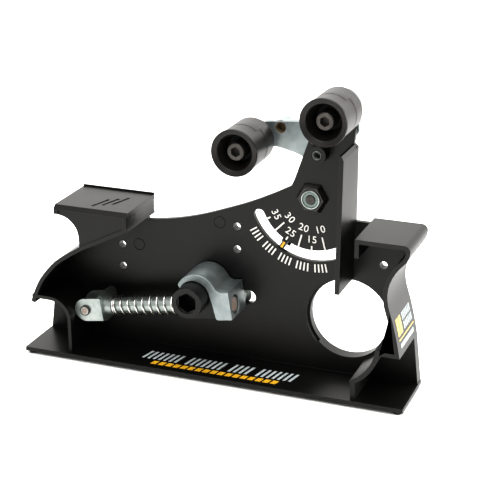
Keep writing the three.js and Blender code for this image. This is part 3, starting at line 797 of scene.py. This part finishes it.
# ---- angle scale ------------------------------------------------------------------------
INK = 0.45
INK_SUNK = 0.05
INK_EDGE = 0.00012
MIDDLE_VALUE = 15
DEGREES_PER_UNIT = 3


def scale_point(value, radius):
    """A point on the scale; the marks run clockwise from straight down."""
    angle = math.radians((value - MIDDLE_VALUE) * DEGREES_PER_UNIT)
    return PIVOT_X - radius * math.sin(angle), PIVOT_Z - radius * math.cos(angle)


def scale_bars(name, bars, width):
    """Raised printed bars of (value, inner radius, outer radius)."""
    work = bmesh.new()
    for value, inner, outer in bars:
        outline = bar_outline(*scale_point(value, inner), *scale_point(value, outer), width)
        prism(work, outline, -INK, INK_SUNK)
    piece(name, work, "frame", WHITE_INK, INK_EDGE)


LONG_MARKS = [(value, 28.6, 37.9) for value in (10, 20, 30)]
SHORT_MARKS = [(value, 35.0, 37.9) for value in (15, 25, 35)]
FINE_MARKS = [(value, 48.1, 54.2) for value in range(11, 35) if value % 5]
scale_bars("scale_marks", LONG_MARKS + SHORT_MARKS, 1.15)
scale_bars("scale_fine_marks", FINE_MARKS, 1.1)

NUMERALS = {10: 23.1, 15: 30.4, 20: 23.2, 25: 31.0, 30: 23.0, 35: 30.3}
NUMERAL_SIZE = 7.3
NUMERAL_EDGE = 0.00004
NUMERAL_THINNED = -0.00001
NUMERAL_SPACING = 1.08


def numeral(value, radius):
    """A raised number on the scale, turned to face the pivot."""
    curve = bpy.data.curves.new(f"numeral_{value}", "FONT")
    curve.body = str(value)
    curve.size = NUMERAL_SIZE * MM
    curve.extrude = INK / 2 * MM
    curve.bevel_depth = NUMERAL_EDGE
    curve.offset = NUMERAL_THINNED
    curve.space_character = NUMERAL_SPACING
    curve.align_x = "CENTER"
    curve.align_y = "CENTER"
    text = bpy.data.objects.new(f"numeral_curve_{value}", curve)
    bpy.context.scene.collection.objects.link(text)
    bpy.context.view_layer.update()
    mesh = bpy.data.meshes.new_from_object(text)
    bpy.data.objects.remove(text)
    turned = math.radians((value - MIDDLE_VALUE) * DEGREES_PER_UNIT)
    x, z = scale_point(value, radius)
    mesh.transform(
        Matrix.Translation(mm(x, -INK / 2, z))
        @ Matrix.Rotation(turned, 4, "Y")
        @ Matrix.Rotation(math.pi / 2, 4, "X")
    )
    mesh.materials.clear()
    mesh.materials.append(WHITE_INK)
    obj = bpy.data.objects.new(f"numeral_{value}", mesh)
    bpy.context.scene.collection.objects.link(obj)
    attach(obj, "frame")


for value, radius in NUMERALS.items():
    numeral(value, radius)

POINTER_VALUE = 25
stripe = bar_outline(*scale_point(POINTER_VALUE, 40.3), *scale_point(POINTER_VALUE, 45.0), 1.7)
piece("pointer_stripe", prism(bmesh.new(), stripe, 0.1, 0.45), "arm", YELLOW_INK, 0.0001)

# ---- generic print --------------------------------------------------------------------------
BASE_TOP = 5.0
FILM = 0.12
FILM_SUNK = 0.03


def print_row(name, start, end, y, depth, width, gap, lean, material, skip=()):
    """A row of slanted blocks on top of the base."""
    work = bmesh.new()
    count = int((end - start + gap) / (width + gap))
    for i in range(count):
        if i not in skip:
            outline = slanted(start + i * (width + gap), y, width, depth, lean)
            plate(work, outline, BASE_TOP - FILM_SUNK, BASE_TOP + FILM)
    piece(name, work, "frame", material)


print_row("base_print_white", -55.5, 60, -27.5, 12.5, 2.0, 2.15, 2.6, COOL_INK, (7, 15, 20))
print_row("base_print_yellow", -45.5, 51, -35, 5.2, 4.2, 1.5, 1.2, YELLOW_INK)

BODY_SKIN = BVHTree.FromPolygons(
    [vertex.co for vertex in frame["nodes"]["main_body"].data.vertices],
    [polygon.vertices for polygon in frame["nodes"]["main_body"].data.polygons],
)
OUTSIDE = 0.3
WALL_PRINT_ROWS = 6


def wall_print(name, blocks, material):
    """Blocks of (front, rear, bottom, top), in millimetres, laid on the right wall's outer face."""
    work = bmesh.new()
    for front, rear, bottom, top in blocks:
        grid = []
        for i in range(WALL_PRINT_ROWS + 1):
            z = bottom + (top - bottom) * i / WALL_PRINT_ROWS
            line = []
            for y in (front, rear):
                place = mm(0, y, z)
                start = Vector((OUTSIDE, place.y, place.z))
                hit, normal, _, _ = BODY_SKIN.ray_cast(start, Vector((-1, 0, 0)))
                line.append((hit + normal * FILM * MM, hit - normal * FILM_SUNK * MM))
            grid.append(line)
        verts = [[[work.verts.new(p) for p in pair] for pair in line] for line in grid]
        for low, high in zip(verts, verts[1:]):
            work.faces.new([low[0][0], low[1][0], high[1][0], high[0][0]])
            work.faces.new([low[0][1], high[0][1], high[1][1], low[1][1]])
            work.faces.new([low[0][0], high[0][0], high[0][1], low[0][1]])
            work.faces.new([low[1][0], low[1][1], high[1][1], high[1][0]])
        for line, order in ((verts[0], 1), (verts[-1], -1)):
            corners = [line[0][0], line[0][1], line[1][1], line[1][0]]
            work.faces.new(corners[::order])
    piece(name, work, "frame", material)


wall_print("wall_print_yellow", [
    (-31.5, -26.6, 53, 65), (-25.6, -20.7, 53, 65), (-31.6, 4.0, 49.9, 50.8),
], PALE_YELLOW_INK)
wall_print("wall_print_white", [
    *((y, y + 2.3, 59.7, 65) for y in (-17.6, -14.2, -10.8, -7.4, -4.0, -0.6)),
    *((y, y + 2.3, 53.3, 58.4) for y in (-17.0, -13.6, -10.2, -6.8, -3.4, 0)),
    (-30, 1.6, 44.4, 47.6),
], WALL_INK)

# ---- light, floor and camera ----------------------------------------------------------
scene = bpy.context.scene
scene.view_settings.view_transform = "Standard"
scene.view_settings.look = "High Contrast"

FRONT_SKY = (0.66, 0.65, 0.635)
REAR_SKY = (1.6, 1.58, 1.55)
SKY_FRONT_END = -0.9
SKY_REAR_END = 0.5
FLOOR_TONE = (0.93, 0.93, 0.925)
FLOOR_HALF = 6.0
FLOOR_GAP = 0.0002
CAMERA_PLACE = (0.3569, -0.8795, 0.4481)
CAMERA_TARGET = (0.0282, -0.0190, 0.0991)
CAMERA_LENS = 104
CAMERA_SENSOR = 36
world = bpy.data.worlds.new("studio")
scene.world = world
world.use_nodes = True
backdrop = world.node_tree.nodes["Background"]
backdrop.inputs["Strength"].default_value = 1.0
sky_place = world.node_tree.nodes.new("ShaderNodeTexCoord")
sky_split = world.node_tree.nodes.new("ShaderNodeSeparateXYZ")
world.node_tree.links.new(sky_place.outputs["Generated"], sky_split.inputs["Vector"])
sky_depth = world.node_tree.nodes.new("ShaderNodeMapRange")
sky_depth.inputs["From Min"].default_value = SKY_FRONT_END
sky_depth.inputs["From Max"].default_value = SKY_REAR_END
world.node_tree.links.new(sky_split.outputs["Y"], sky_depth.inputs["Value"])
sky_tone = world.node_tree.nodes.new("ShaderNodeMix")
sky_tone.data_type = "RGBA"
sky_tone.inputs[6].default_value = (*FRONT_SKY, 1)
sky_tone.inputs[7].default_value = (*REAR_SKY, 1)
world.node_tree.links.new(sky_depth.outputs["Result"], sky_tone.inputs["Factor"])
world.node_tree.links.new(sky_tone.outputs[2], backdrop.inputs["Color"])

floor_mesh = bpy.data.meshes.new("floor")
floor_mesh.from_pydata(
    [(-FLOOR_HALF, -FLOOR_HALF, 0), (FLOOR_HALF, -FLOOR_HALF, 0),
     (FLOOR_HALF, FLOOR_HALF, 0), (-FLOOR_HALF, FLOOR_HALF, 0)], [], [(0, 1, 2, 3)],
)
floor = bpy.data.objects.new("floor", floor_mesh)
scene.collection.objects.link(floor)
pale = bpy.data.materials.new("pale_floor")
pale.use_nodes = True
pale_shader = pale.node_tree.nodes["Principled BSDF"]
pale_shader.inputs["Base Color"].default_value = (*FLOOR_TONE, 1)
pale_shader.inputs["Roughness"].default_value = 0.9
pale_shader.inputs["Specular IOR Level"].default_value = 0.2
floor.data.materials.append(pale)
floor.location.z = CAD_LOW.z - FLOOR_GAP


def softbox(name, place, target, size, power):
    """A rectangular lamp at a place, aimed at a target."""
    light = bpy.data.lights.new(name, "AREA")
    light.shape = "RECTANGLE"
    light.size, light.size_y = size
    light.energy = power
    lamp = bpy.data.objects.new(name, light)
    lamp.location = place
    lamp.rotation_euler = (Vector(target) - Vector(place)).to_track_quat("-Z", "Y").to_euler()
    scene.collection.objects.link(lamp)


softbox("overhead", (0.1, 0.25, 1.3), (0, 0, 0.05), (1.2, 0.9), 10)
softbox("right_side", (1.35, 0.4, 0.32), (0.1, 0, 0.08), (1.1, 0.75), 19)
softbox("front_pool", (0.1, -0.75, 0.9), (0.05, -0.75, 0), (0.9, 0.5), 5)

camera_data = bpy.data.cameras.new("camera")
camera_data.sensor_width = CAMERA_SENSOR
camera_data.lens = CAMERA_LENS
camera_data.clip_end = 30
camera = bpy.data.objects.new("camera", camera_data)
camera.location = CAMERA_PLACE
sight = Vector(CAMERA_TARGET) - Vector(CAMERA_PLACE)
camera.rotation_euler = sight.to_track_quat("-Z", "Y").to_euler()
scene.collection.objects.link(camera)
scene.camera = camera
